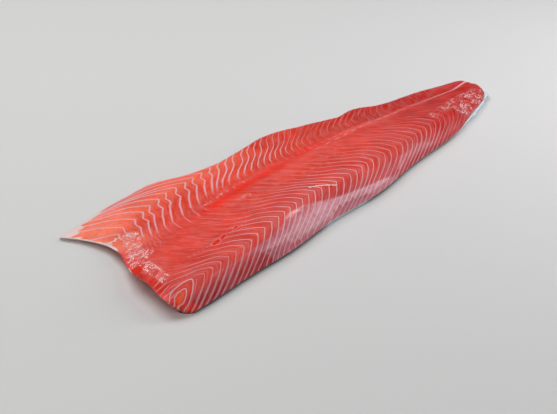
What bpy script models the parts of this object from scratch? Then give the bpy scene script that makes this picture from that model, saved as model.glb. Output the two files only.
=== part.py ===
"""A side of salmon lying on its skin: loin, belly flap, head cut and tail in one solid.

The fillet lies along X, head cut at -X and tail at +X. The belly is on +Y and the back on -Y.
Sizes are in millimetres until the last step, which scales the mesh to metres.
"""

import math

import bmesh
import bpy
import numpy as np

NAME = "salmon_fillet"
MM = 0.001

# Plan of the fillet. Each pair is a distance from the head cut and the place of the edge there.
BELLY_EDGE = (
    (-30, 93), (5, 93), (32, 97), (95, 100), (135, 101), (165, 91), (205, 84), (255, 88), (300, 91),
    (340, 79), (386, 66), (412, 67), (438, 57), (500, 45), (560, 31), (590, 25),
)
DORSAL_EDGE = (
    (-30, -102), (5, -101), (75, -95), (140, -91), (205, -81), (285, -77), (355, -63),
    (460, -47), (505, -34), (540, -23), (562, -10), (590, 4),
)
SPINE_LINE = ((-30, 8), (60, 12), (150, 20), (250, 21), (400, 20), (500, 18), (590, 12))

# Thickness along the same length: at the belly edge, on the spine line and on top of the loin.
BELLY_THICK = (
    (-30, 3.5), (20, 4), (60, 6.2), (110, 9), (200, 10.2), (300, 10.2), (430, 9.8), (545, 9), (590, 7),
)
SPINE_THICK = ((-30, 13), (20, 14), (90, 18), (200, 22), (330, 21), (450, 16), (530, 11.5), (590, 8))
LOIN_THICK = ((-30, 27), (20, 29), (120, 32), (250, 33), (360, 29), (450, 22), (530, 14), (590, 8))
# How far the rounded side of the loin reaches in from the dorsal edge.
SIDE_REACH = ((-30, 44), (120, 50), (250, 50), (400, 40), (500, 26), (590, 12))
SIDE_ROUNDNESS = 1.75    # 2 is a round side, and 1 a straight slope
FLAP_SLOPE = 0.45        # share of the rise from belly to spine that is even, the rest comes late

# Ends of the fillet seen from above: place across, and how far along the end lies there.
HEAD_LIP = (
    (93, 0), (76, 8), (58, 13), (40, 15), (24, 13), (6, 6), (-6, -1), (-20, -8), (-35, -13.5),
    (-50, -16), (-65, -20), (-80, -23), (-90, -19), (-97, -12), (-102, -2),
)
TAIL_END = ((34, 555), (27, 562), (18, 568), (8, 570), (-2, 566), (-12, 555))
TAIL_MEASURED_AT = 565.0
# The head cut leans forward: its foot lies this far behind the lip.
HEAD_SETBACK = ((92, 3), (58, 8), (24, 12), (-10, 21), (-28, 26), (-50, 27), (-70, 22), (-85, 13), (-99, 3))
SETBACK_FADE = 0.083     # share of the length over which the sides come back to upright
# Three lobes of muscle bulge from the cut: middle across and half width of each.
HEAD_LOBES = ((-31, 20), (-66, 15), (-87, 8))
LOBE_DEPTH, LOBE_RISE, LOBE_LENGTH = 3.0, 1.8, 26.0

# The cut face rolls over at its edges.
BELLY_ROLL, BELLY_ROLL_DROP = 5.0, 0.25
HEAD_ROLL, HEAD_ROLL_POWER = 22.0, 2.4
LOIN_ROLL_DROP, FLAP_ROLL_DROP = 0.40, 0.10
FLAP_ENDS_AT, LOIN_STARTS_AT = 30.0, -15.0
TAIL_ROLL, TAIL_ROLL_DROP = 9.0, 0.3

# The grid of the cut face.
ROWS, COLUMNS = 112, 32
RIDGE_AT = 0.66          # share of the columns between the belly edge and the top of the loin
EDGE_CROWDING = 1.25     # above 1, the columns stand closer together at the belly edge
TAILWARD_CROWDING = 0.2  # rows stand this share closer together at the tail, as the flakes do
END_ROWS = 0.09          # share of the rows, at each end, that crowd towards the end
END_CROWDING = 1.35

# Rows follow the flakes, whose edges zigzag across the fillet. Each pair is the share across,
# from belly edge to dorsal edge, and how far towards the tail the edge of a flake lies there.
FLAKE_ZIGZAG = ((0, 40), (0.2, 22), (0.415, 0), (0.58, 3), (0.70, 10), (0.79, 25), (1, 2))
FLAKE_RELIEF = 0.3       # rows are ridge and groove by turns
ZIGZAG_FROM, ZIGZAG_TO = 5.0, 555.0
ZIGZAG_FADE = 120.0      # length at each end over which the rows straighten

GROOVE_DEPTH, GROOVE_WIDTH = 1.3, 4.0      # along the spine line
GROOVE_FROM, GROOVE_FULL = 90.0, 210.0
WRINKLE_DEPTH, WRINKLE_PITCH = 0.8, 11.0   # loose surface near the tail
WRINKLE_X, WRINKLE_LENGTH, WRINKLE_Y, WRINKLE_WIDTH = 525.0, 38.0, -6.0, 14.0
SWELL_DEPTH, SWELL_LENGTH, SWELL_WIDTH = 0.7, 31.0, 23.0   # slow unevenness of the knife cut
RELIEF_FADE = 13.0       # the unevenness dies out over this width at the edges

# Walls and skin, below the rim of the cut face.
RIM, WALL, FOOT, SKIN_TOP, SKIN_EDGE, FLAT = range(6)
WALL_AT = 0.42           # height share of the ring between rim and foot
WALL_HOLLOW = 1.5        # above 1, the wall goes back late and the undercut is hollow
WALL_BULGE = 0.08        # share of its height by which a wall swells
SIDE_WALL = 1.4          # upright flesh between the skin and the rounded side of the loin
LEAST_FLESH = 0.8        # the flesh is nowhere thinner than this
SKIN = 1.3               # thickness of the skin
SKIN_BEVEL = 0.25
SKIN_LIP = 0.9           # how far it stands out round the flesh
TAIL_SKIN_LIP = 3.0      # the same at the tail, where the flesh is trimmed back
TAIL_LIP_SHARE = 0.017   # share of the length over which the lip widens
END_FAN = 120.0          # degrees over which the lip turns from side to side at an end
DORSAL_LIFT = 2.6        # how far the skin curls up along the back
BELLY_LIFT = 0.8
CURL_WIDTH = 0.07        # share of the width over which it comes down to the flat underside
FLAT_SHARE_ACROSS, FLAT_SHARE_ALONG = 0.88, 0.97   # the flat underside within the outline
FLAT_INSET = 6.0         # how far it starts behind the foot of the head cut

FLESH_COLOUR = (0.72, 0.10, 0.055, 1.0)
FLESH_ROUGHNESS = 0.32
SHARP_ANGLE = 50.0


def curve(stations):
    """A smooth function through pairs of place and value."""
    places, values = np.array(sorted(stations), float).T
    slopes = np.gradient(values, places)

    def at(place):
        place = np.clip(place, places[0], places[-1])
        left = np.clip(np.searchsorted(places, place) - 1, 0, len(places) - 2)
        width = places[left + 1] - places[left]
        t = (place - places[left]) / width
        start = (1 + 2 * t) * (1 - t) ** 2 * values[left] + t * (1 - t) ** 2 * width * slopes[left]
        end = t * t * (3 - 2 * t) * values[left + 1] - t * t * (1 - t) * width * slopes[left + 1]
        return start + end

    return at


belly_edge, dorsal_edge, spine_line = curve(BELLY_EDGE), curve(DORSAL_EDGE), curve(SPINE_LINE)
belly_thick, spine_thick, loin_thick = curve(BELLY_THICK), curve(SPINE_THICK), curve(LOIN_THICK)
side_reach, head_lip, head_setback = curve(SIDE_REACH), curve(HEAD_LIP), curve(HEAD_SETBACK)
tail_end, flake_zigzag = curve(TAIL_END), curve(FLAKE_ZIGZAG)


def ease(t):
    """0 to 1 with level ends."""
    t = np.clip(t, 0.0, 1.0)
    return t * t * (3.0 - 2.0 * t)


def bell(distance, width):
    return np.exp(-((distance / width) ** 2))


def ridge_line(x):
    """Y of the top of the loin, where its side begins to round down."""
    return dorsal_edge(x) + side_reach(x)


def side_angle(across):
    """Angle round the side of the loin: 0 at the dorsal edge, a quarter turn at the ridge."""
    return np.clip((1.0 - across) / (1.0 - RIDGE_AT), 0.0, 1.0) * math.pi / 2


def place_across(x, across):
    """Y of a column: over the flat top, then round the side of the loin."""
    over_top = np.clip(across / RIDGE_AT, 0.0, 1.0) ** EDGE_CROWDING
    on_top = belly_edge(x) + (ridge_line(x) - belly_edge(x)) * over_top
    inward = 1.0 - np.cos(side_angle(across)) ** (2.0 / SIDE_ROUNDNESS)
    on_side = dorsal_edge(x) + side_reach(x) * inward
    return np.where(across < RIDGE_AT, on_top, on_side)


def thickness(x, y, across):
    """Height of the cut face: belly flap, up to the spine line, up to the loin, down its side."""
    spine = spine_line(x)
    flap = np.clip((belly_edge(x) - y) / (belly_edge(x) - spine), 0.0, 1.0)
    back = np.clip((spine - y) / (spine - ridge_line(x)), 0.0, 1.0)
    rise = FLAP_SLOPE * flap + (1.0 - FLAP_SLOPE) * flap ** 2
    crown = 1.0 - (1.0 - back) ** 2
    top = belly_thick(x) + (spine_thick(x) - belly_thick(x)) * rise
    top = top + (loin_thick(x) - spine_thick(x)) * crown

    foot = SKIN + DORSAL_LIFT + SIDE_WALL
    side = foot + (loin_thick(x) - foot) * np.sin(side_angle(across)) ** (2.0 / SIDE_ROUNDNESS)
    return np.where(across < RIDGE_AT, top, side)


def head_lobes(y):
    """Height of the three bulges across the head cut, from 0 to 1."""
    bulges = [np.clip(1.0 - ((y - middle) / reach) ** 2, 0.0, 1.0) for middle, reach in HEAD_LOBES]
    return sum(bulges)


def relief(x, y, lip, tail):
    """Small unevenness on the top: spine groove, lobes at the head cut and loose tail surface."""
    groove = -GROOVE_DEPTH * bell(y - spine_line(x), GROOVE_WIDTH)
    groove = groove * ease((x - GROOVE_FROM) / (GROOVE_FULL - GROOVE_FROM))
    lobes = LOBE_RISE * head_lobes(y) * ease(1 - (x - lip) / LOBE_LENGTH)
    wrinkles = np.sin(2 * math.pi * (x + 0.7 * y) / WRINKLE_PITCH + np.sin(y / 5.0))
    wrinkles = WRINKLE_DEPTH * wrinkles * ease((tail - x) / TAIL_ROLL)
    wrinkles = wrinkles * bell(x - WRINKLE_X, WRINKLE_LENGTH) * bell(y - WRINKLE_Y, WRINKLE_WIDTH)
    swell = SWELL_DEPTH * np.sin(x / SWELL_LENGTH + y / 50.0) * np.cos(y / SWELL_WIDTH - x / 90.0)
    edge = ease((belly_edge(x) - y) / RELIEF_FADE) * ease((y - dorsal_edge(x)) / RELIEF_FADE)
    return (groove + lobes + wrinkles + swell) * edge


def along_the_length(along):
    """Rows stand closer towards the tail, and crowd at both ends, where the form turns quickly."""
    from_end = np.minimum(along, 1.0 - along)
    crowded = END_ROWS * np.clip(from_end / END_ROWS, 0.0, 1.0) ** END_CROWDING
    from_end = np.where(from_end < END_ROWS, crowded, from_end)
    even = np.where(along < 0.5, from_end, 1.0 - from_end)
    return even * (1.0 + TAILWARD_CROWDING) - TAILWARD_CROWDING * even ** 2


def follow_flakes(x, across):
    """X of a row bent to the zigzag of the flakes, and how fully it is bent there."""
    bent = ease((x - ZIGZAG_FROM) / ZIGZAG_FADE) * ease((ZIGZAG_TO - x) / ZIGZAG_FADE)
    return x + flake_zigzag(across) * bent, bent


def ends(across):
    """Where each column starts at the head lip and stops at the tail, and how deep the undercut is."""
    head_y = place_across(np.zeros_like(across), across)
    tail_y = place_across(np.full_like(across, TAIL_MEASURED_AT), across)
    lip = head_lip(head_y) - LOBE_DEPTH * head_lobes(head_y)
    return lip, tail_end(tail_y), head_setback(head_y)


def skin_lift(across):
    """The underside is flat, and curls up at the back and a little at the belly."""
    back = ease(1.0 - (1.0 - across) / CURL_WIDTH) * DORSAL_LIFT
    belly = ease(1.0 - across / CURL_WIDTH) * BELLY_LIFT
    return back + belly


def roll_edges(x, y, z, base, lip, tail):
    """The cut face rounds over at the belly edge, behind the head lip and before the tail end."""
    at_belly = np.clip(1.0 - (belly_edge(x) - y) / BELLY_ROLL, 0.0, 1.0)
    z = z - BELLY_ROLL_DROP * belly_thick(x) * (1.0 - np.sqrt(1.0 - at_belly ** 2))
    loin = ease((FLAP_ENDS_AT - y) / (FLAP_ENDS_AT - LOIN_STARTS_AT))
    head_drop = FLAP_ROLL_DROP + (LOIN_ROLL_DROP - FLAP_ROLL_DROP) * loin
    head_drop = head_drop * np.clip(1.0 - (x - lip) / HEAD_ROLL, 0.0, 1.0) ** HEAD_ROLL_POWER
    tail_drop = TAIL_ROLL_DROP * np.clip(1.0 - (tail - x) / TAIL_ROLL, 0.0, 1.0) ** 2
    return base + (z - base) * (1.0 - head_drop) * (1.0 - tail_drop)


def cut_face(along, across):
    """Points of the cut face, also its rim."""
    lip, tail, _ = ends(across)
    x, bent = follow_flakes(lip + (tail - lip) * along_the_length(along), across)
    y = place_across(x, across)
    base = SKIN + skin_lift(across) + LEAST_FLESH
    z = thickness(x, y, across) + FLAKE_RELIEF * bent * np.cos(math.pi * along * ROWS)
    z = roll_edges(x, y, z, base, lip, tail) + relief(x, y, lip, tail)
    return np.stack([x, y, np.maximum(z, base)], axis=-1)


def outward(along, across):
    """Direction away from the fillet at its rim: across at the sides, and fanned at the ends."""
    fan = (0.5 - across) * math.radians(END_FAN)
    at_end = np.where(along == 0.0, -1.0, 0.0) + np.where(along == 1.0, 1.0, 0.0)
    at_side = np.where(across < 0.5, 1.0, -1.0)
    return np.stack([np.cos(fan) * at_end, np.where(at_end == 0.0, at_side, np.sin(fan))], axis=-1)


def wall_and_skin(along, across, ring):
    """Points below the rim: wall, foot of the flesh, and the lip of skin that stands out round it."""
    rim = cut_face(along, across)
    length = along_the_length(along)
    lift = skin_lift(across)
    out = outward(along, across)

    down = np.select([ring == WALL, ring >= FOOT], [WALL_AT, 1.0], 0.0)
    wall_height = rim[:, 2] - SKIN - lift
    _, _, setback = ends(across)
    points = rim.copy()
    points[:, 0] += setback * ease(1.0 - length / SETBACK_FADE) * down ** WALL_HOLLOW
    points[:, :2] += out * np.where(ring == WALL, WALL_BULGE * wall_height, 0.0)[:, None]
    points[:, 2] -= wall_height * down

    lip_width = SKIN_LIP + (TAIL_SKIN_LIP - SKIN_LIP) * ease(1.0 - (1.0 - length) / TAIL_LIP_SHARE)
    points[:, :2] += out * np.where(ring >= SKIN_TOP, lip_width, 0.0)[:, None]
    points[:, 2] -= np.select([ring == SKIN_TOP, ring == SKIN_EDGE], [SKIN_BEVEL, SKIN], 0.0)
    return points


def flat_underside(along, across):
    """Outline of the flat face that the fillet rests on, inside the lip of skin."""
    along = np.where(along < 0.5, along, 0.5 + (along - 0.5) * FLAT_SHARE_ALONG)
    inner_across = 0.5 + (across - 0.5) * FLAT_SHARE_ACROSS
    lip, tail, setback = ends(inner_across)
    foot = lip + setback + FLAT_INSET
    x, _ = follow_flakes(foot + (tail - foot) * along_the_length(along), across)
    return np.stack([x, place_across(x, inner_across), np.zeros_like(x)], axis=-1)


def grid_with_rings(bm):
    """A flat grid for the cut face, its rim extruded once for each ring, the last ring filled."""
    bmesh.ops.create_grid(bm, x_segments=ROWS, y_segments=COLUMNS, size=0.5)
    for vert in bm.verts:
        vert.co.x = round((vert.co.x + 0.5) * ROWS) / ROWS
        vert.co.y = round((vert.co.y + 0.5) * COLUMNS) / COLUMNS
    ring_of = bm.verts.layers.int.new("ring")
    open_edges = [edge for edge in bm.edges if edge.is_boundary]
    for ring in range(WALL, FLAT + 1):
        made = bmesh.ops.extrude_edge_only(bm, edges=open_edges)["geom"]
        for vert in (item for item in made if isinstance(item, bmesh.types.BMVert)):
            vert[ring_of] = ring
        open_edges = [item for item in made if isinstance(item, bmesh.types.BMEdge) and item.is_boundary]
    bmesh.ops.contextual_create(bm, geom=open_edges)
    along, across = np.array([vert.co.xy for vert in bm.verts]).T
    return along, across, np.array([vert[ring_of] for vert in bm.verts])


def build_fillet():
    """The grid and its rings, placed, centred over the origin and scaled to metres."""
    bm = bmesh.new()
    along, across, ring = grid_with_rings(bm)
    points = wall_and_skin(along, across, ring)
    points[ring == RIM] = cut_face(along, across)[ring == RIM]
    points[ring == FLAT] = flat_underside(along, across)[ring == FLAT]
    middle = (points.max(axis=0) + points.min(axis=0)) / 2.0
    middle[2] = 0.0
    for vert, point in zip(bm.verts, (points - middle) * MM):
        vert.co = point
    bmesh.ops.recalc_face_normals(bm, faces=bm.faces)
    bmesh.ops.triangulate(bm, faces=bm.faces)

    mesh = bpy.data.meshes.new(NAME)
    bm.to_mesh(mesh)
    bm.free()
    mesh.shade_smooth()
    mesh.set_sharp_from_angle(angle=math.radians(SHARP_ANGLE))
    return mesh


def flesh_material():
    material = bpy.data.materials.new("salmon_flesh")
    material.use_nodes = True
    shader = material.node_tree.nodes["Principled BSDF"]
    shader.inputs["Base Color"].default_value = FLESH_COLOUR
    shader.inputs["Roughness"].default_value = FLESH_ROUGHNESS
    shader.inputs["Metallic"].default_value = 0.0
    return material


def main():
    for old in list(bpy.data.objects):
        bpy.data.objects.remove(old, do_unlink=True)
    fillet = bpy.data.objects.new(NAME, build_fillet())
    fillet.data.materials.append(flesh_material())
    parts = bpy.data.collections.new("salmon_fillet_parts")
    bpy.context.scene.collection.children.link(parts)
    parts.objects.link(fillet)


main()
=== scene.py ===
# %% [markdown]
# # A side of raw salmon, lying on its skin
# This lesson builds the looks of one side of salmon over its CAD body: a thick rounded loin on one
# side, a thin belly flap on the other, an undercut head cut and a tapering tail.
# Two pieces are made, both from copies of the body. The flesh is its cut face and walls. The skin is
# the thin sheet that the flesh lies on, which stands out a little all round.

# %% The body that everything is built around
import math

import bmesh
import bpy
import numpy as np
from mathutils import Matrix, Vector, noise


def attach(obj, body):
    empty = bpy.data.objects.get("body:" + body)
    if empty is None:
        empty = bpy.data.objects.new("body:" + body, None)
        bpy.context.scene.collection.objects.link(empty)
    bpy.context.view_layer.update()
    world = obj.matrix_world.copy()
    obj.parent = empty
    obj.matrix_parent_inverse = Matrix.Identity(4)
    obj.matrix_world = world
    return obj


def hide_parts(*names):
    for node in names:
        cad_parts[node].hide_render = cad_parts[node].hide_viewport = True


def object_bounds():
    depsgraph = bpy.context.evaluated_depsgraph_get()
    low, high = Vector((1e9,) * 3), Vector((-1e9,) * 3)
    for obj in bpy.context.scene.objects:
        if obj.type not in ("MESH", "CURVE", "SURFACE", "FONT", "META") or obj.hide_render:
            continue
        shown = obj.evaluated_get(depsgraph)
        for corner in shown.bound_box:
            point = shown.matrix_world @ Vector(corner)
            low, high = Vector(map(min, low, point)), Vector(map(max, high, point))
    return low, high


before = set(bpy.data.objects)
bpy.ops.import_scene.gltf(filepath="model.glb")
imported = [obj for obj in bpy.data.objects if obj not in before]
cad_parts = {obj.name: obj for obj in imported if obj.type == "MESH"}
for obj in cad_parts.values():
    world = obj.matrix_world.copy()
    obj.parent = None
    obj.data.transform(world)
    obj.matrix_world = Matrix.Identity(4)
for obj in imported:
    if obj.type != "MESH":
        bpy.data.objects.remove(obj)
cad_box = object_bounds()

TO_MM = 1000.0         # the frame is in metres, and most sizes here are in millimetres

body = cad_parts["salmon_fillet"]
size = (cad_box[1] - cad_box[0]) * TO_MM
print(f"the body is {size.x:.0f} x {size.y:.0f} x {size.z:.0f} mm")

# %% [markdown]
# ## Small tools
# Flesh has no straight lines, so nearly every size here changes along the fish. `curve` turns a few
# pairs of place and value into a smooth function. `rise`, `fall`, `bell` and `window` fade things in
# and out without an edge, so that one zone runs softly into the next, as it does in real flesh.

# %% Functions for smooth change
def curve(stations):
    """A smooth function through pairs of place and value."""
    places, values = np.array(sorted(stations), float).T
    slopes = np.gradient(values, places)

    def at(place):
        place = np.clip(place, places[0], places[-1])
        left = np.clip(np.searchsorted(places, place) - 1, 0, len(places) - 2)
        width = places[left + 1] - places[left]
        t = (place - places[left]) / width
        start = (1 + 2 * t) * (1 - t) ** 2 * values[left] + t * (1 - t) ** 2 * width * slopes[left]
        end = t * t * (3 - 2 * t) * values[left + 1] - t * t * (1 - t) * width * slopes[left + 1]
        return start + end

    return at


def straight(stations):
    """A function of straight steps through pairs of place and value."""
    places, values = np.array(sorted(stations), float).T
    return lambda place: np.interp(place, places, values)


def ease(t):
    """0 to 1 with level ends."""
    t = np.clip(t, 0.0, 1.0)
    return t * t * (3.0 - 2.0 * t)


def rise(value, start, length):
    """0 up to start, then smoothly to 1 over length."""
    return ease((value - start) / length)


def fall(value, end, length):
    """Smoothly from 1 to 0 over length, and 0 from end on."""
    return ease((end - value) / length)


def ramp(value, start, length):
    return np.clip((value - start) / length, 0.0, 1.0)


def mix(share, first, second):
    return (1.0 - share) * first + share * second


def bell(distance, width):
    """1 in the middle, and a good third at width."""
    return np.exp(-((distance / width) ** 2))


def window(value, start, end, blend):
    """1 between start and end, fading to 0 over the width of blend on both sides."""
    return ease((value - start) / blend + 0.5) * ease((end - value) / blend + 0.5)


print("an ease goes through", ease(np.array([0.25, 0.5, 0.75])))

# %% [markdown]
# ## Two coordinates that follow the fish
# The fat lines are drawn on the surface, so they need coordinates that lie in it. One is the distance
# from the head cut along the fish. The other runs round the section from the spine line: negative
# over the belly flap, positive over the loin and down its rounded side. Both are in millimetres.

# %% Distance from the head cut, and distance round the section
HEAD_TO_MIDDLE = 274.2
MIDDLE_TO_SPINE_AXIS = 0.3
SPINE_LINE = curve(((-30, 8), (60, 12), (150, 20), (250, 21), (400, 20), (500, 18), (590, 12)))
RIDGE_LINE = curve((
    (-30, -58), (5, -56), (75, -47.5), (140, -41), (205, -31), (285, -28.5), (355, -19.5),
    (460, -15.5), (540, -4), (590, 10),
))
LOIN_TOP = curve(((-30, 27), (20, 29), (120, 32), (250, 33), (360, 29), (450, 22), (530, 13), (590, 6)))
HEAD_LIP = curve((
    (93, 0), (76, 8), (58, 13), (40, 15), (24, 13), (6, 6), (-6, -1), (-20, -8), (-35, -13.5),
    (-50, -16), (-65, -20), (-80, -23), (-90, -19), (-97, -12), (-102, -2),
))
RIDGE_BLEND = 8.0      # over this distance the top turns into the side
TOP_SLANT = 1.02       # the top is a little longer than its plan
SIDE_BOW = 0.085       # the rounded side is longer than its chord by this share at SIDE_CHORD
SIDE_CHORD = 57.0


def along_and_round(points):
    x = points[:, 0] * TO_MM + HEAD_TO_MIDDLE
    y = points[:, 1] * TO_MM + MIDDLE_TO_SPINE_AXIS
    past_ridge = np.maximum(RIDGE_LINE(x) - y, 0.0)
    below_ridge = np.maximum(LOIN_TOP(x) - points[:, 2] * TO_MM, 0.0) * ease(past_ridge / RIDGE_BLEND)
    chord = np.hypot(past_ridge, below_ridge)
    over_top = TOP_SLANT * (SPINE_LINE(x) - np.maximum(y, RIDGE_LINE(x)))
    return x, over_top + chord * (1.0 + SIDE_BOW * (chord / SIDE_CHORD) ** 2)


spine_to_ridge = float(SPINE_LINE(HEAD_TO_MIDDLE) - RIDGE_LINE(HEAD_TO_MIDDLE))
print(f"at the middle the top of the loin lies {spine_to_ridge:.0f} mm from the spine line")

# %% [markdown]
# ## The flesh: a fine copy of the cut face
# The body has about five millimetres between its corners. A copy is merged, its triangles are joined
# to squares, and its small ridges are smoothed. Two rounds of subdivision then give squares of about
# 1.3 mm, fine enough to carry the flakes, the pin-bone slits and the torn surface as real shape. To
# find the cut face, the walls and the lip of skin, each corner is sorted by how many edges it lies
# away from the flat underside.

# %% Copy the body and sort its corners into rings
MERGE_WITHIN = 1e-6
UNDERSIDE_TOP = 1e-5
POINTS_DOWN = -0.5     # for the height of a face's normal
RINGS_TO_FOOT = 3      # edges between the flat underside and the foot of the flesh
RINGS_TO_RIM = 5       # and the rim of the cut face


def merged_copy():
    bm = bmesh.new()
    bm.from_mesh(body.data)
    bmesh.ops.remove_doubles(bm, verts=bm.verts, dist=MERGE_WITHIN)
    return bm


def under_flat_faces(vert):
    return all(face.normal.z < POINTS_DOWN for face in vert.link_faces)


def count_rings(bm):
    """How many edges each corner lies away from the flat underside."""
    layer = bm.verts.layers.int.new("rings")
    flat = [vert for vert in bm.verts if vert.co.z < UNDERSIDE_TOP and under_flat_faces(vert)]
    reached, ring = set(flat), 0
    while flat:
        for vert in flat:
            vert[layer] = ring
        around = {edge.other_vert(vert) for vert in flat for edge in vert.link_edges}
        flat = [vert for vert in around if vert not in reached]
        reached.update(flat)
        ring += 1
    return layer


flesh_bm = merged_copy()
rings = count_rings(flesh_bm)
print(f"corners are up to {max(vert[rings] for vert in flesh_bm.verts)} edges away from the underside")

# %% [markdown]
# ## The foot of the flesh
# A thin lip of skin stands out beyond the flesh, and it is widest at the tail. So the lowest ring of
# the walls is moved out over most of the lip, but at the tail the walls are drawn back as a whole.

# %% Move the foot of the flesh
FOOT_SPREAD = 0.75     # as shares of the lip of skin
TAIL_TRIM = 1.3
LEVEL = Vector((1, 1, 0))


def mean(vectors):
    return sum(vectors, Vector()) / len(vectors)


def corners_below(vert):
    """The neighbours of a corner that are one ring lower."""
    around = [edge.other_vert(vert) for edge in vert.link_edges]
    return [other for other in around if other[rings] == vert[rings] - 1]


trimmed = {}
for ring in range(RINGS_TO_FOOT, RINGS_TO_RIM + 1):
    for vert in [vert for vert in flesh_bm.verts if vert[rings] == ring]:
        below = corners_below(vert)
        from_head = vert.co.x * TO_MM + HEAD_TO_MIDDLE
        at_tail = float(rise(from_head, 455, 45) + 0.6 * rise(from_head, 536, 20))
        if ring == RINGS_TO_FOOT:
            lip = (mean([other.co for other in below]) - vert.co) * LEVEL
            trimmed[vert] = -lip * TAIL_TRIM * at_tail
            vert.co += lip * FOOT_SPREAD * max(1 - at_tail, 0)
        else:
            trimmed[vert] = mean([trimmed[other] for other in below])
for vert, way in trimmed.items():
    vert.co += way
print(f"the tail is trimmed back by up to {max(way.length for way in trimmed.values()) * TO_MM:.1f} mm")

# %% [markdown]
# ## Squares instead of triangles
# Subdivision rounds squares evenly, and leaves dents between triangles, so pairs of triangles are
# joined. Creases hold the rim and the foot in place, since subdivision would pull them inwards.

# %% Join the triangles, smooth the top and close the underside
JOIN_FACE_ANGLE, JOIN_SHAPE_ANGLE = math.radians(60), math.radians(80)
SMOOTHING_ROUNDS, SMOOTHING_SHARE = 3, 0.5
FULL_CREASE = 1.0
FOOT_SUNK = 0.0008     # the flesh reaches down into the skin, so that no gap shows


def keep_faces(bm, wanted):
    bmesh.ops.delete(bm, geom=[face for face in bm.faces if not wanted(face)], context="FACES")


def join_to_squares(bm, **settings):
    bmesh.ops.join_triangles(
        bm, faces=bm.faces, angle_face_threshold=JOIN_FACE_ANGLE,
        angle_shape_threshold=JOIN_SHAPE_ANGLE, **settings,
    )


for edge in flesh_bm.edges:
    first, second = (vert[rings] for vert in edge.verts)
    edge.smooth = first != second or first > RINGS_TO_RIM
keep_faces(flesh_bm, lambda face: all(vert[rings] >= RINGS_TO_FOOT for vert in face.verts))
join_to_squares(flesh_bm, cmp_sharp=True)
inner = [vert for vert in flesh_bm.verts if vert[rings] > RINGS_TO_RIM]
for _ in range(SMOOTHING_ROUNDS):
    bmesh.ops.smooth_vert(
        flesh_bm, verts=inner, factor=SMOOTHING_SHARE,
        use_axis_x=True, use_axis_y=True, use_axis_z=True,
    )
crease = flesh_bm.edges.layers.float.new("crease_edge")
foot_edges = [edge for edge in flesh_bm.edges if edge.is_boundary]
rim_edges = [edge for edge in flesh_bm.edges if all(vert[rings] == RINGS_TO_RIM for vert in edge.verts)]
for edge in foot_edges + rim_edges:
    edge[crease] = FULL_CREASE
for vert in {vert for edge in foot_edges for vert in edge.verts}:
    vert.co.z -= FOOT_SUNK
bmesh.ops.contextual_create(flesh_bm, geom=foot_edges)
bmesh.ops.recalc_face_normals(flesh_bm, faces=flesh_bm.faces)
squares = sum(len(face.verts) == 4 for face in flesh_bm.faces)
print(f"the flesh starts as {len(flesh_bm.faces)} faces, {squares} of them squares")

# %% Subdivide the flesh
SUBDIVISIONS = 2


def new_piece(name, bm_or_mesh):
    mesh = bm_or_mesh
    if isinstance(bm_or_mesh, bmesh.types.BMesh):
        mesh = bpy.data.meshes.new(name)
        bm_or_mesh.to_mesh(mesh)
        bm_or_mesh.free()
    piece = bpy.data.objects.new(name, mesh)
    bpy.context.scene.collection.objects.link(piece)
    return piece


coarse_flesh = new_piece("coarse_flesh", flesh_bm)
subdivision = coarse_flesh.modifiers.new("fine squares", "SUBSURF")
subdivision.levels = subdivision.render_levels = SUBDIVISIONS
evaluated = coarse_flesh.evaluated_get(bpy.context.evaluated_depsgraph_get())
flesh = new_piece("flesh", bpy.data.meshes.new_from_object(evaluated))
flesh.data.name = "flesh"
bpy.data.objects.remove(coarse_flesh)
print(f"the fine flesh has {len(flesh.data.vertices)} corners and {len(flesh.data.polygons)} faces")

# %% [markdown]
# ## Where the fat lines run
# A fish's side muscle is a row of nested cones, with a thin sheet of fat and tissue between each two.
# The knife cuts them at a slant, so their edges show as lines. Over the loin they make chevrons
# pointing to the tail, whose points lie on one long curve. Over the belly flap they make a second
# row of chevrons that opens into long slanting lines.
# Each family of lines is a function that gives every point a number: 0 on the first line, 1 on the
# next, and so on. A point is followed tailwards along its own line to the point of the chevron, and
# the place of that point gives the number.

# %% Chevrons of the loin
LOIN_POINTS = curve((
    (-60, 104), (-20, 101), (35, 96), (70, 94), (97, 93), (120, 90), (145, 88), (175, 83), (205, 80),
    (260, 81), (301, 75), (350, 69), (412, 58), (500, 42), (600, 25),
))
LOIN_COUNT = straight((
    (-130, -15), (50, 0), (97, 4), (144, 8), (186.5, 12), (228, 16), (271, 20), (312, 24), (359, 28),
    (399, 32), (500, 42), (600, 52),
))
LOIN_ARM_UP = curve((
    (-75, 66), (-50, 62), (-38, 57), (-33, 54), (-28, 50), (-24, 45.5), (-20, 38.5), (-14, 25), (-9, 14),
    (-4, 5.6), (0, 0),
))
LOIN_ARM_UP_TAIL = curve((
    (-75, 56), (-50, 52), (-38, 47), (-28, 41), (-24, 37), (-20, 30.5), (-14, 18.5), (-9, 10), (-4, 4),
    (0, 0),
))
LOIN_ARM_UP_HEAD = curve((
    (-60, 85), (-30, 75), (-20, 66), (-16, 57), (-12, 42), (-9.5, 30), (-7.5, 18), (-4, 7), (0, 0),
))
HEAD_ARM_SPREAD = straight((
    (14, 0.4), (26, 0.55), (38, 0.8), (50, 1.0), (62, 1.1), (74, 1.25), (86, 1.45), (110, 1.65),
))
LOIN_ARM_DOWN_HEAD = curve((
    (0, 0), (5, 5.5), (10, 11.8), (15, 19.5), (20, 27.5), (24, 34), (28, 41), (32, 48),
))
LOIN_ARM_DOWN_MIDDLE = curve((
    (0, 0), (8, 6.6), (12.5, 11.3), (17.5, 17.5), (22.5, 25.5), (27.5, 34.3), (32.5, 43), (40, 56),
))
LOIN_ARM_DOWN_TAIL = curve((
    (0, 0), (3, 1.3), (7, 4), (11, 8), (15, 13), (19, 19), (25, 28.5), (35, 44), (50, 68),
))
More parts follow.
